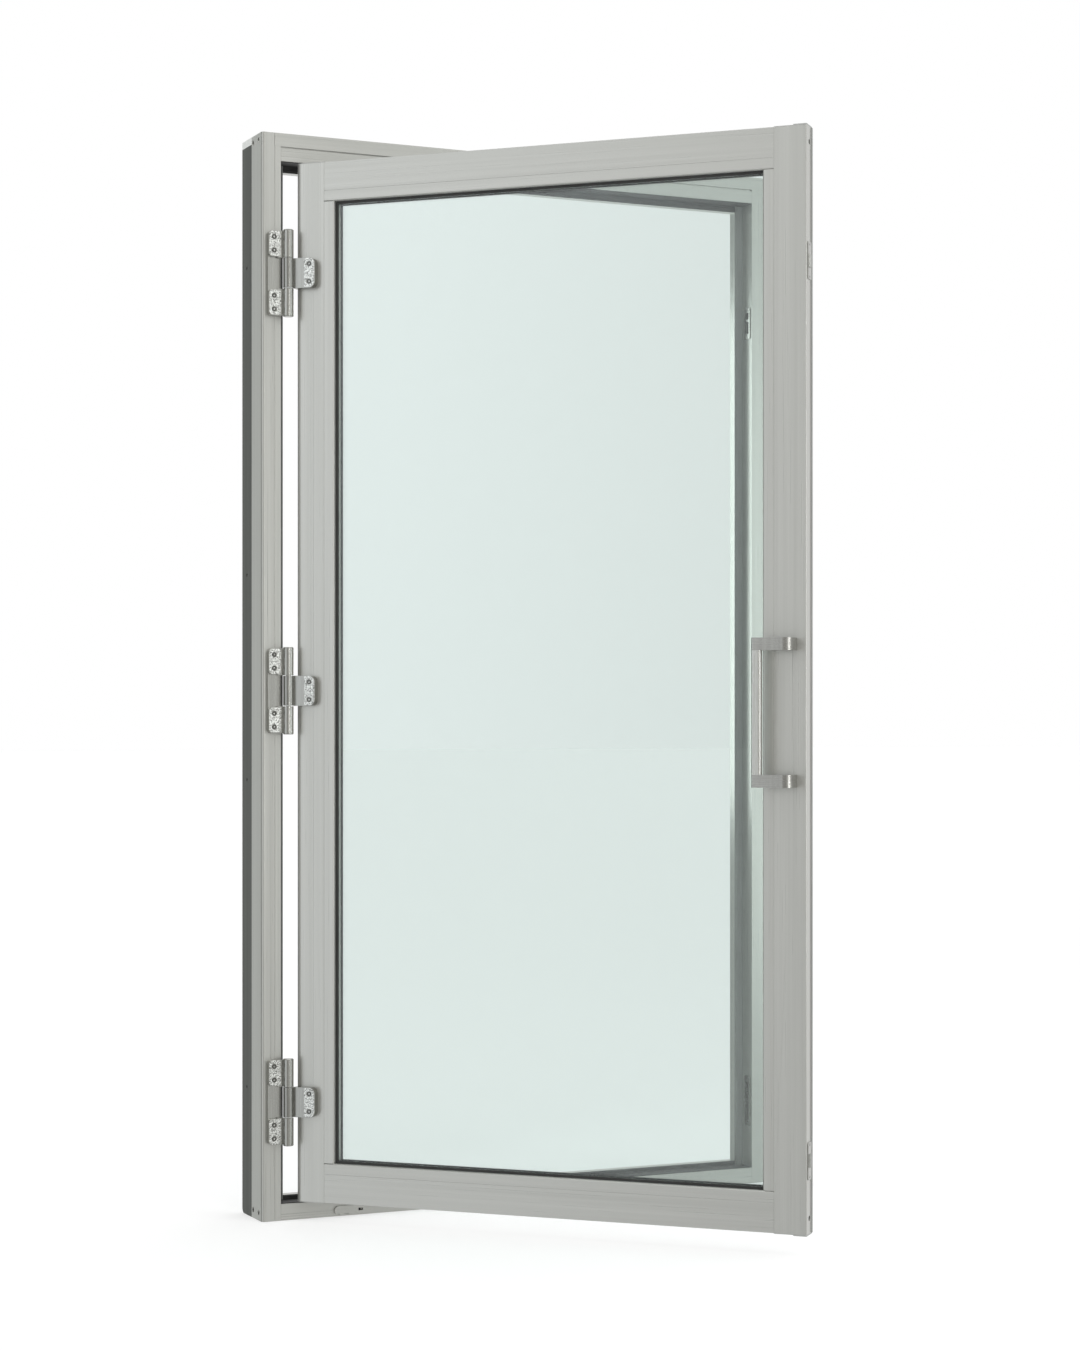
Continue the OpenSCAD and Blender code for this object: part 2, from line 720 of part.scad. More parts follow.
module stile_lock_side() {
    color(aluminium) at_free_edge() difference() {
        stile(free_edge_round);
        for (z = foot_z) bore_y(-cut, leaf_t + cut, foot_x, z, bolt_d);
        for (z = [catch_low_z, catch_high_z])
            block(-cut, case_depth, catch_y - case_w / 2, catch_y + case_w / 2, z - case_h / 2, z + case_h / 2);
    }
}

// A rail, with its outer edge at z = 0 and its bead above it
module rail() {
    w = leaf_wall;
    difference() {
        along_x(stile_w, leaf_w - stile_w) difference() {
            polygon([[0, 0], [leaf_t, 0], [leaf_t, rail_h + leg_reach],
                [leaf_t - leg_t, rail_h + leg_reach], [leaf_t - leg_t, rail_h], [0, rail_h]]);
            ported(w, leaf_t - w, w, rail_h - w, [rail_port_y]);
            translate([rail_port_y, rail_port_z]) circle(d = screw_d);
        }
        for (x = [[stile_w - cut, stile_w + leg_reach], [leaf_w - stile_w - leg_reach, leaf_w - stile_w + cut]])
            block(x[0], x[1], leaf_t - leg_t - cut, leaf_t + cut, rail_h, rail_h + leg_reach + cut);
    }
}

module rail_bottom() { color(aluminium) at_leaf() translate([0, 0, leaf_z0]) rail(); }

module rail_top() { color(aluminium) at_leaf() translate([0, 0, leaf_z1]) mirror([0, 0, 1]) rail(); }

module rail_screws() {
    color(steel) for (z = rail_screws_z) {
        at_leaf() translate([stile_w - leaf_wall, rail_port_y, z]) screw_x(screw_grip);
        at_free_edge() translate([stile_w - leaf_wall, rail_port_y, z]) screw_x(screw_grip);
    }
}

// Section of a bead, counted from the stile or rail towards the glass
module bead_section() {
    w = 1.6;
    chamfer = 2;
    difference() {
        polygon([[0, 0], [bead_w - chamfer, 0], [bead_w, chamfer], [bead_w, bead_depth], [0, bead_depth]]);
        span(w, bead_w - 2 * w, w, bead_depth - w);
    }
}

module upright_bead() {
    translate([stile_w, 0, leaf_z0 + sight_z]) linear_extrude(leaf_z1 - leaf_z0 - 2 * sight_z) bead_section();
}

module level_bead() {
    translate([stile_w, 0, rail_h]) rotate([90, 0, 90]) linear_extrude(leaf_w - 2 * stile_w)
        mirror([1, -1, 0]) bead_section();
}

module bead_hinge_side() { color(aluminium) at_leaf() upright_bead(); }

module bead_lock_side() { color(aluminium) at_free_edge() upright_bead(); }

module bead_bottom() { color(aluminium) at_leaf() translate([0, 0, leaf_z0]) level_bead(); }

module bead_top() { color(aluminium) at_leaf() translate([0, 0, leaf_z1]) mirror([0, 0, 1]) level_bead(); }

// A rectangular ring between two distances from the sight line, inside the leaf; lock_side is
// the inner one's distance at the lock stile
module ring(y0, y1, outer, inner, lock_side = undef) {
    lock_inner = is_undef(lock_side) ? inner : lock_side;
    difference() {
        block(sight_x + outer, leaf_w - sight_x - outer, y0, y1,
            leaf_z0 + sight_z + outer, leaf_z1 - sight_z - outer);
        block(sight_x + inner, leaf_w - sight_x - lock_inner, y0 - cut, y1 + cut,
            leaf_z0 + sight_z + inner, leaf_z1 - sight_z - inner);
    }
}

pane_edge = glass_clear - bead_w;
gasket_edge = -9;

module pane(y) {
    block(sight_x + pane_edge, leaf_w - sight_x - pane_edge, y, y + pane_t,
        leaf_z0 + sight_z + pane_edge, leaf_z1 - sight_z - pane_edge);
}

module glass_front() { color(glass_tint) at_leaf() pane(front_pane_y); }

module glass_rear() { color(glass_tint) at_leaf() pane(rear_pane_y); }

module spacer_bar() {
    color(aluminium) at_leaf()
        ring(front_pane_y + pane_t, rear_pane_y, spacer_show - spacer_w, spacer_show);
}

module glass_edge_seal() {
    color(black_rubber) at_leaf()
        ring(front_pane_y + pane_t, rear_pane_y, pane_edge, spacer_show - spacer_w);
}

module gasket_front() {
    color(black_rubber) at_leaf() ring(bead_depth, front_pane_y, gasket_edge, gasket_lip, lock_lip);
}

module gasket_rear() {
    color(black_rubber) at_leaf() ring(rear_pane_y + pane_t, leaf_t - leg_t, gasket_edge, gasket_lip);
}

// Packers between the glass and the rails
module setting_blocks() {
    packer_w = 100;
    packer_x = leaf_w / 4;
    y1 = rear_pane_y + pane_t;
    color(black_rubber) at_leaf() for (x = [packer_x, leaf_w - packer_x]) {
        block(x - packer_w / 2, x + packer_w / 2, front_pane_y, y1,
            leaf_z0 + rail_h, leaf_z0 + rail_h + glass_clear);
        block(x - packer_w / 2, x + packer_w / 2, front_pane_y, y1,
            leaf_z1 - rail_h - glass_clear, leaf_z1 - rail_h);
    }
}

// A cap on the end of a stile, with a plug in each chamber and a raised block at the outer edge
module end_cap(r, raised) {
    w = leaf_wall;
    web = stile_w / 2;
    fit = 0.2;
    plate = 1;
    plug = 8;
    raised_w = 25;
    rc = max(r, 1);
    linear_extrude(plate) polygon(rounded(0, 0, stile_w, leaf_t, [rc, 0, 0, 0]));
    if (raised > 0)
        linear_extrude(raised) polygon(rounded(0, 0, raised_w, leaf_t, [rc, 0, 0, 0]));
    translate([0, 0, -plug]) linear_extrude(plug) {
        polygon(rounded(w + fit, w + fit, web - w / 2 - fit, leaf_t - w - fit,
            [max(r - w, w / 2), w / 2, w / 2, w / 2]));
        span(web + w / 2 + fit, stile_w - w - fit, w + fit, leaf_t - w - fit);
    }
}

cap_raised = 2.7;

module end_cap_hinge_top() {
    color(grey_rubber) at_leaf() translate([0, 0, leaf_z1]) end_cap(nose_r, 0);
}

module end_cap_hinge_bottom() {
    color(grey_rubber) at_leaf() translate([0, 0, leaf_z0]) mirror([0, 0, 1]) end_cap(nose_r, 0);
}

module end_cap_lock_top() {
    color(grey_rubber) at_free_edge() translate([0, 0, leaf_z1]) end_cap(free_edge_round, cap_raised);
}

module end_cap_lock_bottom() {
    color(grey_rubber) at_free_edge() translate([0, 0, leaf_z0]) mirror([0, 0, 1])
        end_cap(free_edge_round, cap_raised);
}

// A strip down the free edge, between and beyond the catches
edge_seal_in = 1;
edge_seal_w = 6;
edge_seal_t = 2;

module edge_seal() {
    color(grey_rubber) at_free_edge() block(-edge_seal_t, 0,
        leaf_t - edge_seal_in - edge_seal_w, leaf_t - edge_seal_in, leaf_z0, leaf_z1);
}

// ---- Pull handle, counted from the free edge ----

grip_x = foot_in + grip_offset;
grip_round = 4;
bow_r = 30; // of the arms' bowed outer ends
bow_w = 16; // how much of an arm is bowed
inner_bend_r = 2;
bolt_bite = 12; // how far a bolt runs into a foot
bolt_head_d = 12;
bolt_head_h = 4;
bolt_clear = 0.1;

module pull_handle() {
    arm_out = [-handle_out, -handle_out + arm_t];
    inner = foot_in + arm_t + inner_bend_r;
    arm = concat([[grip_x, arm_out[0]], [grip_x, arm_out[1]]],
        arc([inner, arm_out[1] + inner_bend_r], inner_bend_r, 270, 180),
        [[foot_in + arm_t, 0], [foot_in, 0]],
        arc([foot_in + bow_w, arm_out[0] + bow_r], bow_r, 270 - asin(bow_w / bow_r), 270));
    r = grip_round;
    color(steel) at_free_edge() translate([0, 0, handle_z]) difference() {
        union() {
            for (s = [0, 1]) mirror([0, 0, s])
                translate([0, 0, handle_h / 2 - arm_h]) linear_extrude(arm_h) polygon(arm);
            translate([0, 0, -handle_h / 2]) linear_extrude(handle_h)
                polygon(rounded(grip_x - grip_w / 2, -handle_out, grip_x + grip_w / 2,
                    -handle_out + grip_t, [r, r, r, r]));
        }
        for (z = foot_z) bore_y(-bolt_bite - cut, cut, foot_x, z - handle_z, bolt_d);
    }
}

module handle_bolts() {
    color(steel) at_free_edge() for (z = foot_z) difference() {
        union() {
            bore_y(-bolt_bite, leaf_t, foot_x, z, bolt_d);
            bore_y(leaf_t, leaf_t + bolt_head_h, foot_x, z, bolt_head_d);
        }
        translate([foot_x, leaf_t + bolt_head_h - recess_h, z]) rotate([-90, 0, 0])
            cylinder(d = recess_d + 1, h = recess_h + cut, $fn = 6);
    }
}

// Snap caps over the bolt heads on the back of the leaf
module handle_rear_caps() {
    wall = 2;
    r = bolt_head_d / 2 + bolt_clear + wall;
    edge = 1.5;
    inner = [bolt_head_d / 2 + bolt_clear, bolt_head_h + 1];
    color(steel) at_free_edge() for (z = foot_z)
        translate([foot_x, leaf_t, z]) rotate([-90, 0, 0]) rotate_extrude()
            polygon([[inner[0], 0], [r, 0], [r, inner[1] + wall - edge], [r - edge, inner[1] + wall],
                [0, inner[1] + wall], [0, inner[1]], [inner[0], inner[1]]]);
}

// ---- Catches in the free edge ----

case_w = 16;
case_h = 44;
case_depth = 30;
case_plate_w = 22;
case_plate_h = 68;
plunger_w = 12;
plunger_h = 24;
plunger_l = 24;
plunger_fit = 0.1;
catch_screw_d = 4;
catch_travel = 5;

// A plate with a box behind it that the plunger slides in, from the free edge inwards
module catch_case(z) {
    bore_w = plunger_w + 2 * plunger_fit;
    bore_h = plunger_h + 2 * plunger_fit;
    color(steel) at_free_edge() translate([0, catch_y, z]) difference() {
        union() {
            along_x(-catch_plate_t, 0)
                polygon(rounded(-case_plate_w / 2, -case_plate_h / 2, case_plate_w / 2, case_plate_h / 2,
                    [for (i = [0:3]) keep_round]));
            block(0, case_depth, -case_w / 2, case_w / 2, -case_h / 2, case_h / 2);
        }
        block(-catch_plate_t - cut, plunger_l + catch_travel, -bore_w / 2, bore_w / 2, -bore_h / 2, bore_h / 2);
        for (s = [-1, 1])
            bore_x(-catch_plate_t - cut, cut, 0, s * (case_plate_h / 2 - keep_screw_in), catch_screw_d);
    }
}

module catch_case_lower() { catch_case(catch_low_z); }

module catch_case_upper() { catch_case(catch_high_z); }

// A sliding block with a half-round nose, pressed out to its stop
module catch_plunger(z) {
    r = plunger_w / 2;
    nose = catch_plate_t + nose_out;
    color(steel) at_free_edge() translate([0, catch_y, z - plunger_h / 2]) linear_extrude(plunger_h)
        polygon(concat([[plunger_l - nose, r], [plunger_l - nose, -r]],
            [for (p = arc([0, 0], 1, 270, 90, 16)) [p[0] * nose, p[1] * r]]));
}

module catch_plunger_lower() { catch_plunger(catch_low_z); }

module catch_plunger_upper() { catch_plunger(catch_high_z); }

jamb_hinge_side();
jamb_lock_side();
head();
sill();
wall_channel_hinge_side();
wall_channel_lock_side();
wall_channel_head();
seal_hinge_jamb();
seal_lock_jamb();
seal_head();
seal_sill();
frame_screws();
drain_cover();
keep_upper();
keep_lower();
keep_screws();
hinge_plate_lower();
hinge_plate_middle();
hinge_plate_upper();
hinge_pin_lower();
hinge_pin_middle();
hinge_pin_upper();
hinge_plate_screws();
stile_hinge_side();
stile_lock_side();
rail_top();
rail_bottom();
rail_screws();
bead_hinge_side();
bead_lock_side();
bead_top();
bead_bottom();
glass_front();
glass_rear();
spacer_bar();
glass_edge_seal();
gasket_front();
gasket_rear();
setting_blocks();
end_cap_hinge_top();
end_cap_hinge_bottom();
end_cap_lock_top();
end_cap_lock_bottom();
hinge_flag_lower();
hinge_flag_middle();
hinge_flag_upper();
hinge_bush_lower();
hinge_bush_middle();
hinge_bush_upper();
hinge_flag_screws();
pull_handle();
handle_bolts();
handle_rear_caps();
edge_seal();
catch_case_lower();
catch_case_upper();
catch_plunger_lower();
catch_plunger_upper();
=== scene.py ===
import json
import math

import bpy
from mathutils import Matrix, Vector, noise


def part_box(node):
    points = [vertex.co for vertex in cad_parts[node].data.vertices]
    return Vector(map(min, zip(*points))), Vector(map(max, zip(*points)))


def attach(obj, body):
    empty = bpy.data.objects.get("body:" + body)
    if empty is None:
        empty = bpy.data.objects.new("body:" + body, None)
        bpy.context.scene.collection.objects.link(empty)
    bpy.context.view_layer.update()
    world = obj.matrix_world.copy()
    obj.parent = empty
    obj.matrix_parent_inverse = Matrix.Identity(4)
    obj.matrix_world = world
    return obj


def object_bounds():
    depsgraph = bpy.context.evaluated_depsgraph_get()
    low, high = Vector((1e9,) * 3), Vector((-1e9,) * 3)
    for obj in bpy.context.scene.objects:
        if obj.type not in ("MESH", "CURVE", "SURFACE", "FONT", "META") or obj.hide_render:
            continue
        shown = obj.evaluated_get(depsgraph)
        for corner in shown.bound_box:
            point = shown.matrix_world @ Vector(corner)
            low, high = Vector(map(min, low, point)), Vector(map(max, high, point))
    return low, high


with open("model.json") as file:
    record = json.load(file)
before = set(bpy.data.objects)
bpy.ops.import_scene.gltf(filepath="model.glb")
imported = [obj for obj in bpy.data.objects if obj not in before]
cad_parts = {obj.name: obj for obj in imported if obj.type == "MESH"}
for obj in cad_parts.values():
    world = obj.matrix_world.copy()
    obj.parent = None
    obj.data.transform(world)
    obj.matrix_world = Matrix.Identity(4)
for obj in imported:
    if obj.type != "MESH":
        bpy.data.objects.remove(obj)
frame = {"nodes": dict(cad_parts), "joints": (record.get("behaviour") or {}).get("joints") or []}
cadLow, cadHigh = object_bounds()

# Looks of a glazed aluminium door that stands open on three hinges.
# Metres. +Z is up, and the side that opens looks along -Y.
print("door: frame loaded with", len(frame["nodes"]), "pieces")

leafHinge = next(j for j in frame["joints"] if j["name"] == "leaf_hinge")
openAngle = math.radians(leafHinge["range_deg"][1])  # from closed to the way it stands
pinPoint = Vector(leafHinge["pos_m"])


def turnedWithLeaf(point):  # from its place on the closed leaf to where it stands
    return pinPoint + Matrix.Rotation(-openAngle, 3, "Z") @ (Vector(point) - pinPoint)


def newMaterial(name):
    material = bpy.data.materials.new(name)
    material.use_nodes = True
    tree = material.node_tree
    shader = tree.nodes["Principled BSDF"]
    return material, tree, shader


grainRoughness = 0.6  # how much of the noise's finer layers shows
grainLow, grainHigh = 0.3, 0.7  # nearly all of the noise lies between these


def streakNoise(tree, width, length, along, turn=0.0, detail=5.0):
    # noise drawn out along X (0) or Z (2), after a turn about Z
    place = tree.nodes.new("ShaderNodeTexCoord")
    stretch = tree.nodes.new("ShaderNodeMapping")
    stretch.vector_type = "TEXTURE"
    stretch.inputs["Rotation"].default_value = (0, 0, turn)
    stretch.inputs["Scale"].default_value = [length if i == along else width for i in range(3)]
    grain = tree.nodes.new("ShaderNodeTexNoise")
    grain.inputs["Scale"].default_value = 1.0
    grain.inputs["Detail"].default_value = detail
    grain.inputs["Roughness"].default_value = grainRoughness
    tree.links.new(place.outputs["Object"], stretch.inputs["Vector"])
    tree.links.new(stretch.outputs["Vector"], grain.inputs["Vector"])
    return grain.outputs["Fac"]


def spread(tree, value, low, high, toLow, toHigh):  # stretches low..high to toLow..toHigh
    ranged = tree.nodes.new("ShaderNodeMapRange")
    ends = {"From Min": low, "From Max": high, "To Min": toLow, "To Max": toHigh}
    for name, number in ends.items():
        ranged.inputs[name].default_value = number
    tree.links.new(value, ranged.inputs["Value"])
    return ranged.outputs["Result"]


def combine(tree, operation, *values):
    sums = tree.nodes.new("ShaderNodeMath")
    sums.operation = operation
    for socket, value in zip(sums.inputs, values):
        if isinstance(value, bpy.types.NodeSocket):
            tree.links.new(value, socket)
        else:
            socket.default_value = value
    return sums.outputs["Value"]


def blendColours(tree, amount, first, second, how="MIX"):  # first at 0, second at 1
    mix = tree.nodes.new("ShaderNodeMix")
    mix.data_type = "RGBA"
    mix.blend_type = how
    sockets = {s.identifier: s for s in mix.inputs}
    for key, value in (("Factor_Float", amount), ("A_Color", first), ("B_Color", second)):
        if isinstance(value, bpy.types.NodeSocket):
            tree.links.new(value, sockets[key])
        elif key == "Factor_Float":
            sockets[key].default_value = value
        else:
            sockets[key].default_value = (*value, 1)
    return next(s for s in mix.outputs if s.identifier == "Result_Color")


def addBump(tree, shader, height, distance, strength):
    bump = tree.nodes.new("ShaderNodeBump")
    bump.inputs["Strength"].default_value = strength
    bump.inputs["Distance"].default_value = distance
    tree.links.new(height, bump.inputs["Height"])
    tree.links.new(bump.outputs["Normal"], shader.inputs["Normal"])


satinAluminium = {
    "colour": (0.520, 0.520, 0.494),
    "darker": (0.405, 0.405, 0.382),
    "roughness": (0.27, 0.38),
    "metallic": 0.7,
    "lineWidth": 0.0014,
    "lineLength": 0.35,
    "bandWidth": 0.011,
    "bandLength": 1.6,
    "lineDepth": 0.00003,
    "lineBump": 0.35,
}

darkAluminium = dict(
    satinAluminium,
    colour=(0.175, 0.182, 0.166),
    darker=(0.030, 0.031, 0.028),
    roughness=(0.42, 0.56),
    bandWidth=0.014,
)

brushedSteel = {
    "colour": (0.640, 0.640, 0.610),
    "darker": (0.420, 0.420, 0.398),
    "roughness": (0.20, 0.30),
    "metallic": 1.0,
    "lineWidth": 0.0005,
    "lineLength": 0.06,
    "bandWidth": 0.004,
    "bandLength": 0.25,
    "lineDepth": 0.00002,
    "lineBump": 0.35,
    "levelPaintedShade": (0.74, 0.74, 0.74),  # painted shade on the handle's arms, where the brushing runs level
}

hingeSteel = dict(brushedSteel, colour=(0.50, 0.50, 0.475), darker=(0.31, 0.31, 0.292))

# painted shade: the flags get a darker copy of the hinge steel they share with the plates
flagSteelPaintedShade = dict(brushedSteel, colour=(0.40, 0.40, 0.38), darker=(0.27, 0.27, 0.255))

darkSteel = dict(brushedSteel, colour=(0.16, 0.16, 0.15), darker=(0.07, 0.07, 0.065))

lineShare = 0.65  # of the fine lines in a metal's tone
bandShare = 0.40  # of the broad bands
lineDetail = 3.0  # how far the fine lines break up


def brushedMetal(name, finish, along, turn=0.0, across=None):
    # across: a mask of the places where the lines run level instead
    material, tree, shader = newMaterial(name)
    lines = streakNoise(tree, finish["lineWidth"], finish["lineLength"], along, turn, lineDetail)
    bands = streakNoise(tree, finish["bandWidth"], finish["bandLength"], along, turn)
    if across:
        mask = across(tree)
        levelLines = streakNoise(
            tree, finish["lineWidth"], finish["lineLength"], 0, turn, lineDetail)
        difference = combine(tree, "SUBTRACT", levelLines, lines)
        lines = combine(tree, "MULTIPLY_ADD", difference, mask, lines)
    bandTone = spread(tree, bands, grainLow, grainHigh, 0.0, bandShare)
    tone = combine(tree, "MULTIPLY_ADD", lines, lineShare, bandTone)
    colour = blendColours(tree, tone, finish["darker"], finish["colour"])
    # painted shade: where the lines run level, on the handle's arms, the colour is darkened
    if across:
        colour = blendColours(tree, mask, colour, finish["levelPaintedShade"], "MULTIPLY")
    tree.links.new(colour, shader.inputs["Base Color"])
    dullness = spread(tree, lines, grainLow, grainHigh, *finish["roughness"])
    tree.links.new(dullness, shader.inputs["Roughness"])
    shader.inputs["Metallic"].default_value = finish["metallic"]
    addBump(tree, shader, lines, finish["lineDepth"], finish["lineBump"])
    return material


handleLow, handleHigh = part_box("pull_handle")
armHeight = 0.023  # of each of its two arms


def onHandleArms(tree):  # 1 on the two arms, 0 on the grip
    place = tree.nodes.new("ShaderNodeTexCoord")
    parts = tree.nodes.new("ShaderNodeSeparateXYZ")
    tree.links.new(place.outputs["Object"], parts.inputs["Vector"])
    middle = (handleLow.z + handleHigh.z) / 2
    reach = (handleHigh.z - handleLow.z) / 2 - armHeight
    away = combine(tree, "ABSOLUTE", combine(tree, "SUBTRACT", parts.outputs["Z"], middle))
    return combine(tree, "GREATER_THAN", away, reach)


blackRubber = {
    "colour": (0.014, 0.014, 0.014),
    "speck": (0.034, 0.034, 0.033),
    "roughness": (0.50, 0.66),
}

softRubber = {
    "colour": (0.185, 0.190, 0.185),
    "speck": (0.250, 0.255, 0.249),
    "roughness": (0.50, 0.64),
}

greyRubber = {
    "colour": (0.30, 0.305, 0.295),
    "speck": (0.40, 0.405, 0.392),
    "roughness": (0.48, 0.62),
}

whiteCap = {
    "colour": (0.70, 0.71, 0.69),
    "speck": (0.78, 0.79, 0.77),
    "roughness": (0.38, 0.50),
}

moulding = {  # the surface that the rubbers and the plastic share
    "speckSize": 0.0006,
    "speckDetail": 4.0,
    "speckDepth": 0.00004,
    "speckBump": 0.4,
    "cloudWidth": 0.05,
    "cloudLength": 0.12,
    "cloudTone": (0.5, 1.8),
}


def speckled(name, finish):
    m = moulding
    material, tree, shader = newMaterial(name)
    specks = streakNoise(tree, m["speckSize"], m["speckSize"], 2, detail=m["speckDetail"])
    cloud = streakNoise(tree, m["cloudWidth"], m["cloudLength"], 2)
    cloudTone = spread(tree, cloud, grainLow, grainHigh, *m["cloudTone"])
    both = combine(tree, "MULTIPLY", specks, cloudTone)
    colour = blendColours(tree, both, finish["colour"], finish["speck"])
    tree.links.new(colour, shader.inputs["Base Color"])
    dullness = spread(tree, specks, grainLow, grainHigh, *finish["roughness"])
    tree.links.new(dullness, shader.inputs["Roughness"])
    addBump(tree, shader, specks, m["speckDepth"], m["speckBump"])
    return material


rollEmbossed = {
    "pitPaintedShade": (0.17, 0.17, 0.16),
    "peakPaintedLight": (0.86, 0.87, 0.84),
    "grain": 0.0022,
    "grainDetail": 2.0,
    "edges": (0.36, 0.60),  # of the noise, from the painted shade in the pits to the painted light on the peaks
    "roughness": (0.22, 0.42),
}


def embossedSteel(name):
    material, tree, shader = newMaterial(name)
    r = rollEmbossed
    lumps = streakNoise(tree, r["grain"], r["grain"], 2, detail=r["grainDetail"])
    tone = spread(tree, lumps, *r["edges"], 0.0, 1.0)
    # the embossing's colour runs from painted shade in the pits to painted light on the peaks
    colour = blendColours(tree, tone, r["pitPaintedShade"], r["peakPaintedLight"])
    tree.links.new(colour, shader.inputs["Base Color"])
    dullness = spread(tree, lumps, grainLow, grainHigh, *r["roughness"])
    tree.links.new(dullness, shader.inputs["Roughness"])
    shader.inputs["Metallic"].default_value = 1.0
    return material


clearGlass = {"tint": (0.828, 0.874, 0.860), "index": 1.5}


def glassMaterial(name):
    material, tree, shader = newMaterial(name)
    shader.inputs["Base Color"].default_value = (*clearGlass["tint"], 1)
    shader.inputs["Roughness"].default_value = 0.0
    shader.inputs["IOR"].default_value = clearGlass["index"]
    shader.inputs["Transmission Weight"].default_value = 1.0
    throughLight = tree.nodes.new("ShaderNodeBsdfTransparent")
    throughLight.inputs["Color"].default_value = (*clearGlass["tint"], 1)
    path = tree.nodes.new("ShaderNodeLightPath")
    mix = tree.nodes.new("ShaderNodeMixShader")
    tree.links.new(path.outputs["Is Shadow Ray"], mix.inputs["Fac"])
    tree.links.new(shader.outputs["BSDF"], mix.inputs[1])
    tree.links.new(throughLight.outputs["BSDF"], mix.inputs[2])
    tree.links.new(mix.outputs["Shader"], tree.nodes["Material Output"].inputs["Surface"])
    return material


finishes = {
    "uprightAluminium": brushedMetal("uprightAluminium", satinAluminium, 2),
    "levelAluminium": brushedMetal("levelAluminium", satinAluminium, 0),
    "railAluminium": brushedMetal("railAluminium", satinAluminium, 0, -openAngle),
    "channelAluminium": brushedMetal("channelAluminium", darkAluminium, 2),
    "hingeSteel": brushedMetal("hingeSteel", hingeSteel, 2),
    "flagSteelPaintedShade": brushedMetal("flagSteelPaintedShade", flagSteelPaintedShade, 2),
    "handleSteel": brushedMetal("handleSteel", brushedSteel, 2, -openAngle, onHandleArms),
    "screwSteel": brushedMetal("screwSteel", darkSteel, 2),
    "blackRubber": speckled("blackRubber", blackRubber),
    "sealRubber": speckled("sealRubber", softRubber),
    "capRubber": speckled("capRubber", greyRubber),
    "capWhite": speckled("capWhite", whiteCap),
    "paneGlass": glassMaterial("paneGlass"),
}

finishOf = (
    (("jamb_", "stile_", "bead_hinge", "bead_lock"), "uprightAluminium"),
    (("head", "sill", "drain_cover"), "levelAluminium"),
    (("rail_top", "rail_bottom", "bead_top", "bead_bottom", "spacer_bar"), "railAluminium"),
    (("wall_channel_hinge", "wall_channel_lock"), "channelAluminium"),
    (("wall_channel_head", "hinge_bush"), "capWhite"),
    (("glass_front", "glass_rear"), "paneGlass"),
    (("glass_edge", "gasket", "setting"), "blackRubber"),
    (("seal_head", "seal_sill"), "blackRubber"),
    (("seal_",), "sealRubber"),
    (("edge_seal", "end_cap"), "capRubber"),
    (("pull_handle",), "handleSteel"),
    (("hinge_plate_screws", "hinge_flag_screws"), "screwSteel"),
    (("hinge_flag",), "flagSteelPaintedShade"),
    (("",), "hingeSteel"),
)

edgeRounding = {  # how far each piece's sharp edges are broken
    "uprightAluminium": 0.0004,
    "levelAluminium": 0.0004,
    "railAluminium": 0.0004,
    "channelAluminium": 0.0004,
    "hingeSteel": 0.0003,
    "flagSteelPaintedShade": 0.0003,
    "handleSteel": 0.0008,
    "capWhite": 0.0004,
    "capRubber": 0.0004,
}
edgeAngle = 35  # degrees, what counts as sharp
edgeSteps = 2  # flats across a broken edge
cornerJoin = 0.000005  # corners closer than this are one


def breakEdges(piece, width):
    weld = piece.modifiers.new("joinCorners", "WELD")
    weld.merge_threshold = cornerJoin
    bevel = piece.modifiers.new("brokenEdges", "BEVEL")
    bevel.width = width
    bevel.segments = edgeSteps
    bevel.limit_method = "ANGLE"
    bevel.angle_limit = math.radians(edgeAngle)
    bevel.use_clamp_overlap = True
    bevel.harden_normals = False
    weighted = piece.modifiers.new("faceNormals", "WEIGHTED_NORMAL")
    weighted.keep_sharp = False


for nodeName, piece in frame["nodes"].items():
    finish = next(f for starts, f in finishOf if nodeName.startswith(starts))
    piece.data.materials.clear()
    piece.data.materials.append(finishes[finish])
    if finish in edgeRounding:
        breakEdges(piece, edgeRounding[finish])
print("door: finishes on")

# Embossed faces: the pads at both ends of each jamb plate and the outer part of each flag.
# Places are counted from the hinge pin, right and up, with the leaf closed.
embossing = {
    "padLeft": -0.0380,
    "padRight": -0.0120,
    "padHeight": 0.050,
    "padRound": 0.0080,
    "padScrew": -0.0270,
    "padPitch": 0.026,
    "flagLeft": 0.0300,
    "flagRight": 0.0535,
    "flagHeight": 0.058,
    "flagRound": 0.0120,
    "flagScrew": 0.0415,
    "flagPitch": 0.034,
    "face": 0.0045,  # the plates' faces lie this far behind the pin
    "border": 0.0006,  # from a plate's outline
    "cell": 0.0006,
    "sunk": 0.00006,  # how far the border lies under the plate's face
    "back": 0.0006,
    "rise": 0.00030,
    "lump": 0.0021,  # size of one lump
    "depth": 0.00042,
    "fineScale": 2.3,  # the finer dents, against the lumps
    "fineShare": 0.25,
    "slope": 0.0012,
    "screwClear": 0.0050,
    "mostRound": 0.9995,  # keeps the end rows from closing to nothing
}
embossedFinish = embossedSteel("embossedSteel")


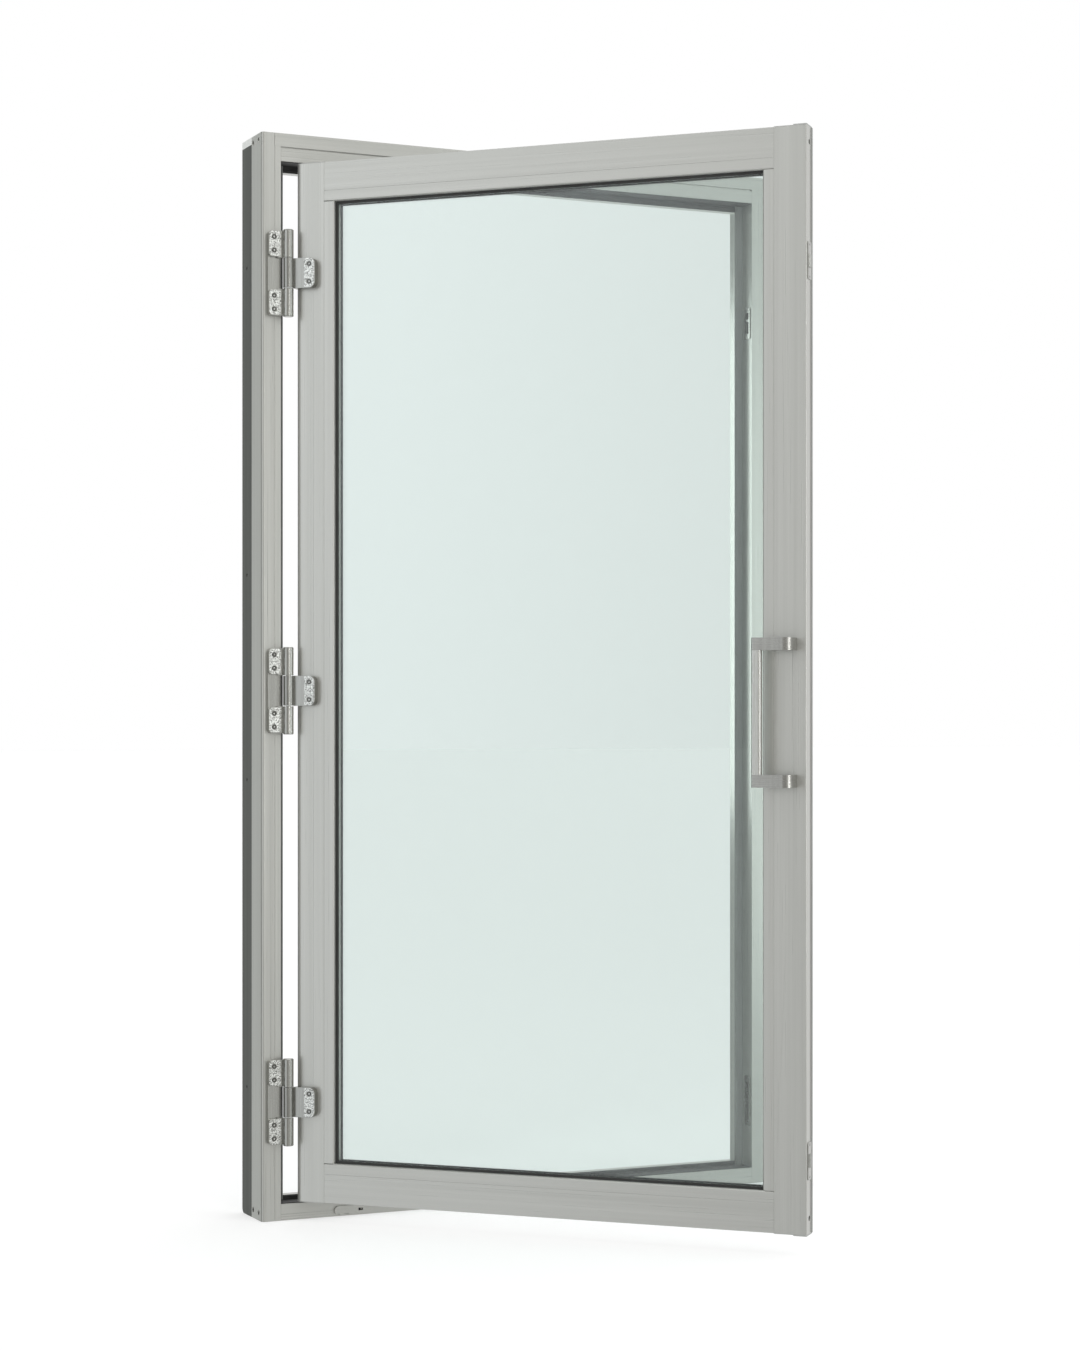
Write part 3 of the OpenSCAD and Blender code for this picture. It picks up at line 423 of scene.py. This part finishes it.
def embossedFace(left, right, low, high, corners, screws, seed):
    # corners: radius of the lower left, lower right, upper right and upper left
    e = embossing
    left, right = left + e["border"], right - e["border"]
    low, high = low + e["border"], high - e["border"]
    corners = [max(r - e["border"], 0.0) for r in corners]
    columns = round((right - left) / e["cell"])
    rows = round((high - low) / e["cell"])
    points = []
    for row in range(rows + 1):
        up = low + (high - low) * row / rows
        ends = []
        for lowRound, highRound in ((corners[0], corners[3]), (corners[1], corners[2])):
            cutOff = 0.0
            for radius, inside in ((lowRound, up - low), (highRound, high - up)):
                if radius and inside < radius:
                    lean = min(1 - inside / radius, e["mostRound"])
                    cutOff = radius - math.sqrt(radius ** 2 - (radius * lean) ** 2)
            ends.append(cutOff)
        for column in range(columns + 1):
            x = left + ends[0] + (right - left - ends[0] - ends[1]) * column / columns
            rim = min(x - left - ends[0], right - ends[1] - x, up - low, high - up)
            screwGap = min(math.dist((x, up), s) for s in screws) - e["screwClear"]
            shore = max(0.0, min(1.0, rim / e["slope"], screwGap / e["slope"]))
            shore = shore * shore * (3 - 2 * shore)
            where = Vector((x, up, seed)) / e["lump"]
            near = noise.voronoi(where)[0][0]
            fine = noise.noise(where * e["fineScale"])
            height = e["rise"] - e["depth"] * (near ** 2 - e["fineShare"] * fine)
            points.append((x, up, max(-e["sunk"], shore * (height + e["sunk"]) - e["sunk"])))
    across = columns + 1
    faces = [
        (r * across + c, r * across + c + 1, (r + 1) * across + c + 1, (r + 1) * across + c)
        for r in range(rows) for c in range(columns)
    ]
    loop = list(range(columns)) + [r * across + columns for r in range(rows)]
    loop += [rows * across + c for c in range(columns, 0, -1)]
    loop += [r * across for r in range(rows, 0, -1)]
    first = len(points)
    points += [(points[i][0], points[i][1], -e["back"]) for i in loop]
    for number in range(len(loop)):
        after = (number + 1) % len(loop)
        faces.append((loop[number], first + number, first + after, loop[after]))
    faces.append(tuple(range(first + len(loop) - 1, first - 1, -1)))
    return points, faces


def addPiece(name, parts, material, body):
    points, faces = [], []
    for partPoints, partFaces in parts:
        start = len(points)
        points += partPoints
        faces += [tuple(start + i for i in face) for face in partFaces]
    mesh = bpy.data.meshes.new(name)
    mesh.from_pydata(points, [], faces)
    mesh.update()
    for polygon in mesh.polygons:
        polygon.use_smooth = len(polygon.vertices) == 4
    mesh.materials.append(material)
    piece = bpy.data.objects.new(name, mesh)
    bpy.context.scene.collection.objects.link(piece)
    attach(piece, body)


def fromPin(points, turned):  # from (right, up, out of the plate's face) to where it stands
    placed = []
    for right, up, out in points:
        point = Vector((pinPoint.x + right, pinPoint.y + embossing["face"] - out, up))
        placed.append(tuple(turnedWithLeaf(point) if turned else point))
    return placed


for number, height in enumerate(("lower", "middle", "upper")):
    e = embossing
    plateLow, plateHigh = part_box("hinge_plate_" + height)
    middle = (plateLow.z + plateHigh.z) / 2
    pads = []
    for low, corners in (
        (plateLow.z, (e["padRound"], e["padRound"], 0.0, e["padRound"])),
        (plateHigh.z - e["padHeight"], (e["padRound"], 0.0, e["padRound"], e["padRound"])),
    ):
        padMiddle = low + e["padHeight"] / 2
        screws = [(e["padScrew"], padMiddle + s * e["padPitch"] / 2) for s in (-1, 1)]
        points, faces = embossedFace(
            e["padLeft"], e["padRight"], low, low + e["padHeight"], corners, screws, number + low)
        pads.append((fromPin(points, False), faces))
    addPiece("embossedPads_" + height, pads, embossedFinish, "frame")
    screws = [(e["flagScrew"], middle + s * e["flagPitch"] / 2) for s in (-1, 1)]
    points, faces = embossedFace(
        e["flagLeft"], e["flagRight"], middle - e["flagHeight"] / 2, middle + e["flagHeight"] / 2,
        (0.0, e["flagRound"], e["flagRound"], 0.0), screws, number + 0.5)
    addPiece("embossedFlag_" + height, [(fromPin(points, True), faces)], embossedFinish, "leaf")
print("door: hinges embossed")

studio = {
    "floorHalf": 80.0,
    "floorDrop": 0.0005,  # under the sill
    "floorColour": (0.50, 0.50, 0.50),
    "floorGlow": 0.545,
    "floorRoughness": 0.9,
    "floorGloss": 0.1,
    "whiteWall": 24.67,  # degrees to the right of +Y
    "walls": (  # the room's tone, by degrees to the right of the white wall
        (-180, (0.52, 0.51, 0.49)),
        (-149, (0.50, 0.49, 0.47)),
        (-136, (1.45, 1.50, 1.54)),
        (-122, (1.40, 1.46, 1.50)),
        (-106, (0.42, 0.42, 0.41)),
        (-90, (0.15, 0.15, 0.14)),
        (-64, (0.18, 0.19, 0.18)),
        (-44, (0.82, 0.86, 0.84)),
        (-27, (1.0, 1.0, 1.0)),
        (60, (1.0, 1.0, 1.0)),
        (100, (0.95, 0.97, 0.98)),
        (122, (1.22, 1.25, 1.26)),
        (140, (0.70, 0.70, 0.67)),
    ),
    "low": 0.74,  # how the walls' tone runs up, away from the white wall
    "high": 1.14,
    "runUp": 0.3,  # from this far under the horizon to as far above it
    "awayFrom": (0.3, 0.8),  # where the white wall's even tone begins and is whole
}

floorMesh = bpy.data.meshes.new("studioFloor")
half = studio["floorHalf"]
floorCorners = [(-half, -half, 0), (half, -half, 0), (half, half, 0), (-half, half, 0)]
floorMesh.from_pydata(floorCorners, [], [(0, 1, 2, 3)])
floor = bpy.data.objects.new("studioFloor", floorMesh)
bpy.context.scene.collection.objects.link(floor)
floor.location.z = cadLow.z - studio["floorDrop"]
floor.visible_glossy = False
floorMaterial, floorTree, floorShader = newMaterial("studioFloor")
floorShader.inputs["Base Color"].default_value = (*studio["floorColour"], 1)
floorShader.inputs["Roughness"].default_value = studio["floorRoughness"]
floorShader.inputs["Specular IOR Level"].default_value = studio["floorGloss"]
floorShader.inputs["Emission Color"].default_value = (1, 1, 1, 1)
floorShader.inputs["Emission Strength"].default_value = studio["floorGlow"]
floorMesh.materials.append(floorMaterial)

world = bpy.data.worlds.new("studioRoom")
bpy.context.scene.world = world
world.use_nodes = True
roomTree = world.node_tree
roomPlace = roomTree.nodes.new("ShaderNodeTexCoord")
wallWay = math.radians(studio["whiteWall"])
wallAcross = (math.cos(wallWay), -math.sin(wallWay), 0)
wallAhead = (math.sin(wallWay), math.cos(wallWay), 0)
parts = []
for way in (wallAcross, wallAhead, (0, 0, 1)):
    along = roomTree.nodes.new("ShaderNodeVectorMath")
    along.operation = "DOT_PRODUCT"
    along.inputs[1].default_value = way
    roomTree.links.new(roomPlace.outputs["Generated"], along.inputs[0])
    parts.append(along.outputs["Value"])
toRight, ahead, upward = parts
bearing = combine(roomTree, "ARCTAN2", toRight, ahead)
roomTone = roomTree.nodes.new("ShaderNodeValToRGB")
stops = roomTone.color_ramp.elements
stops.remove(stops[1])
for number, (degrees, tone) in enumerate(studio["walls"]):
    stop = stops[0] if number == 0 else stops.new((degrees + 180) / 360)
    stop.position = (degrees + 180) / 360
    stop.color = (*tone, 1)
roomTree.links.new(spread(roomTree, bearing, -math.pi, math.pi, 0, 1), roomTone.inputs["Fac"])
upTone = spread(roomTree, upward, -studio["runUp"], studio["runUp"], studio["low"], studio["high"])
awayFromWall = spread(roomTree, ahead, *studio["awayFrom"], 1, 0)
roomColour = blendColours(roomTree, awayFromWall, roomTone.outputs["Color"], upTone, "MULTIPLY")
roomTree.links.new(roomColour, roomTree.nodes["Background"].inputs["Color"])

softLights = (  # place and aim from the door's middle, size, power, colour
    ((-0.45, -3.75, 0.25), (0, 0, 0), (0.30, 2.4), 14, (1.0, 1.0, 1.0)),
    ((1.9, -2.3, 0.1), (0, 0, 0), (0.5, 2.0), 9, (0.97, 1.0, 1.0)),
    ((0.0, 0.95, 0.3), (0.45, 0.40, 0.3), (0.4, 1.2), 6, (0.97, 1.0, 1.0)),
    ((-0.6, -1.6, 3.4), (0, 0, 0), (3.4, 2.4), 25, (1.0, 1.0, 0.99)),
)
doorMiddle = (cadLow + cadHigh) / 2
for number, (place, aim, size, power, colour) in enumerate(softLights):
    lamp = bpy.data.lights.new(f"softLight{number}", "AREA")
    lamp.shape = "RECTANGLE"
    lamp.size, lamp.size_y = size
    lamp.energy = power
    lamp.color = colour
    holder = bpy.data.objects.new(lamp.name, lamp)
    bpy.context.scene.collection.objects.link(holder)
    holder.visible_camera = False
    holder.visible_transmission = False
    holder.location = doorMiddle + Vector(place)
    holder.rotation_mode = "QUATERNION"
    holder.rotation_quaternion = (Vector(aim) - Vector(place)).to_track_quat("-Z", "Y")
print("door: studio lit")

viewpoint = {
    "place": (-2.2696, -5.0199, 0.9653),  # from the middle of the sill
    "turn": 24.67,  # degrees to the right of +Y
    "lens": 72.66,
    "sensor": 36.0,
    "rise": 0.0339,  # the picture's middle is above the horizon
}
camera = bpy.data.objects.new("viewCamera", bpy.data.cameras.new("viewCamera"))
bpy.context.scene.collection.objects.link(camera)
camera.data.lens = viewpoint["lens"]
camera.data.sensor_width = viewpoint["sensor"]
camera.data.shift_y = viewpoint["rise"]
camera.location = viewpoint["place"]
camera.rotation_euler = (math.radians(90), 0, -math.radians(viewpoint["turn"]))
bpy.context.scene.camera = camera
bpy.context.scene.view_settings.view_transform = "Standard"
print("door: camera set")
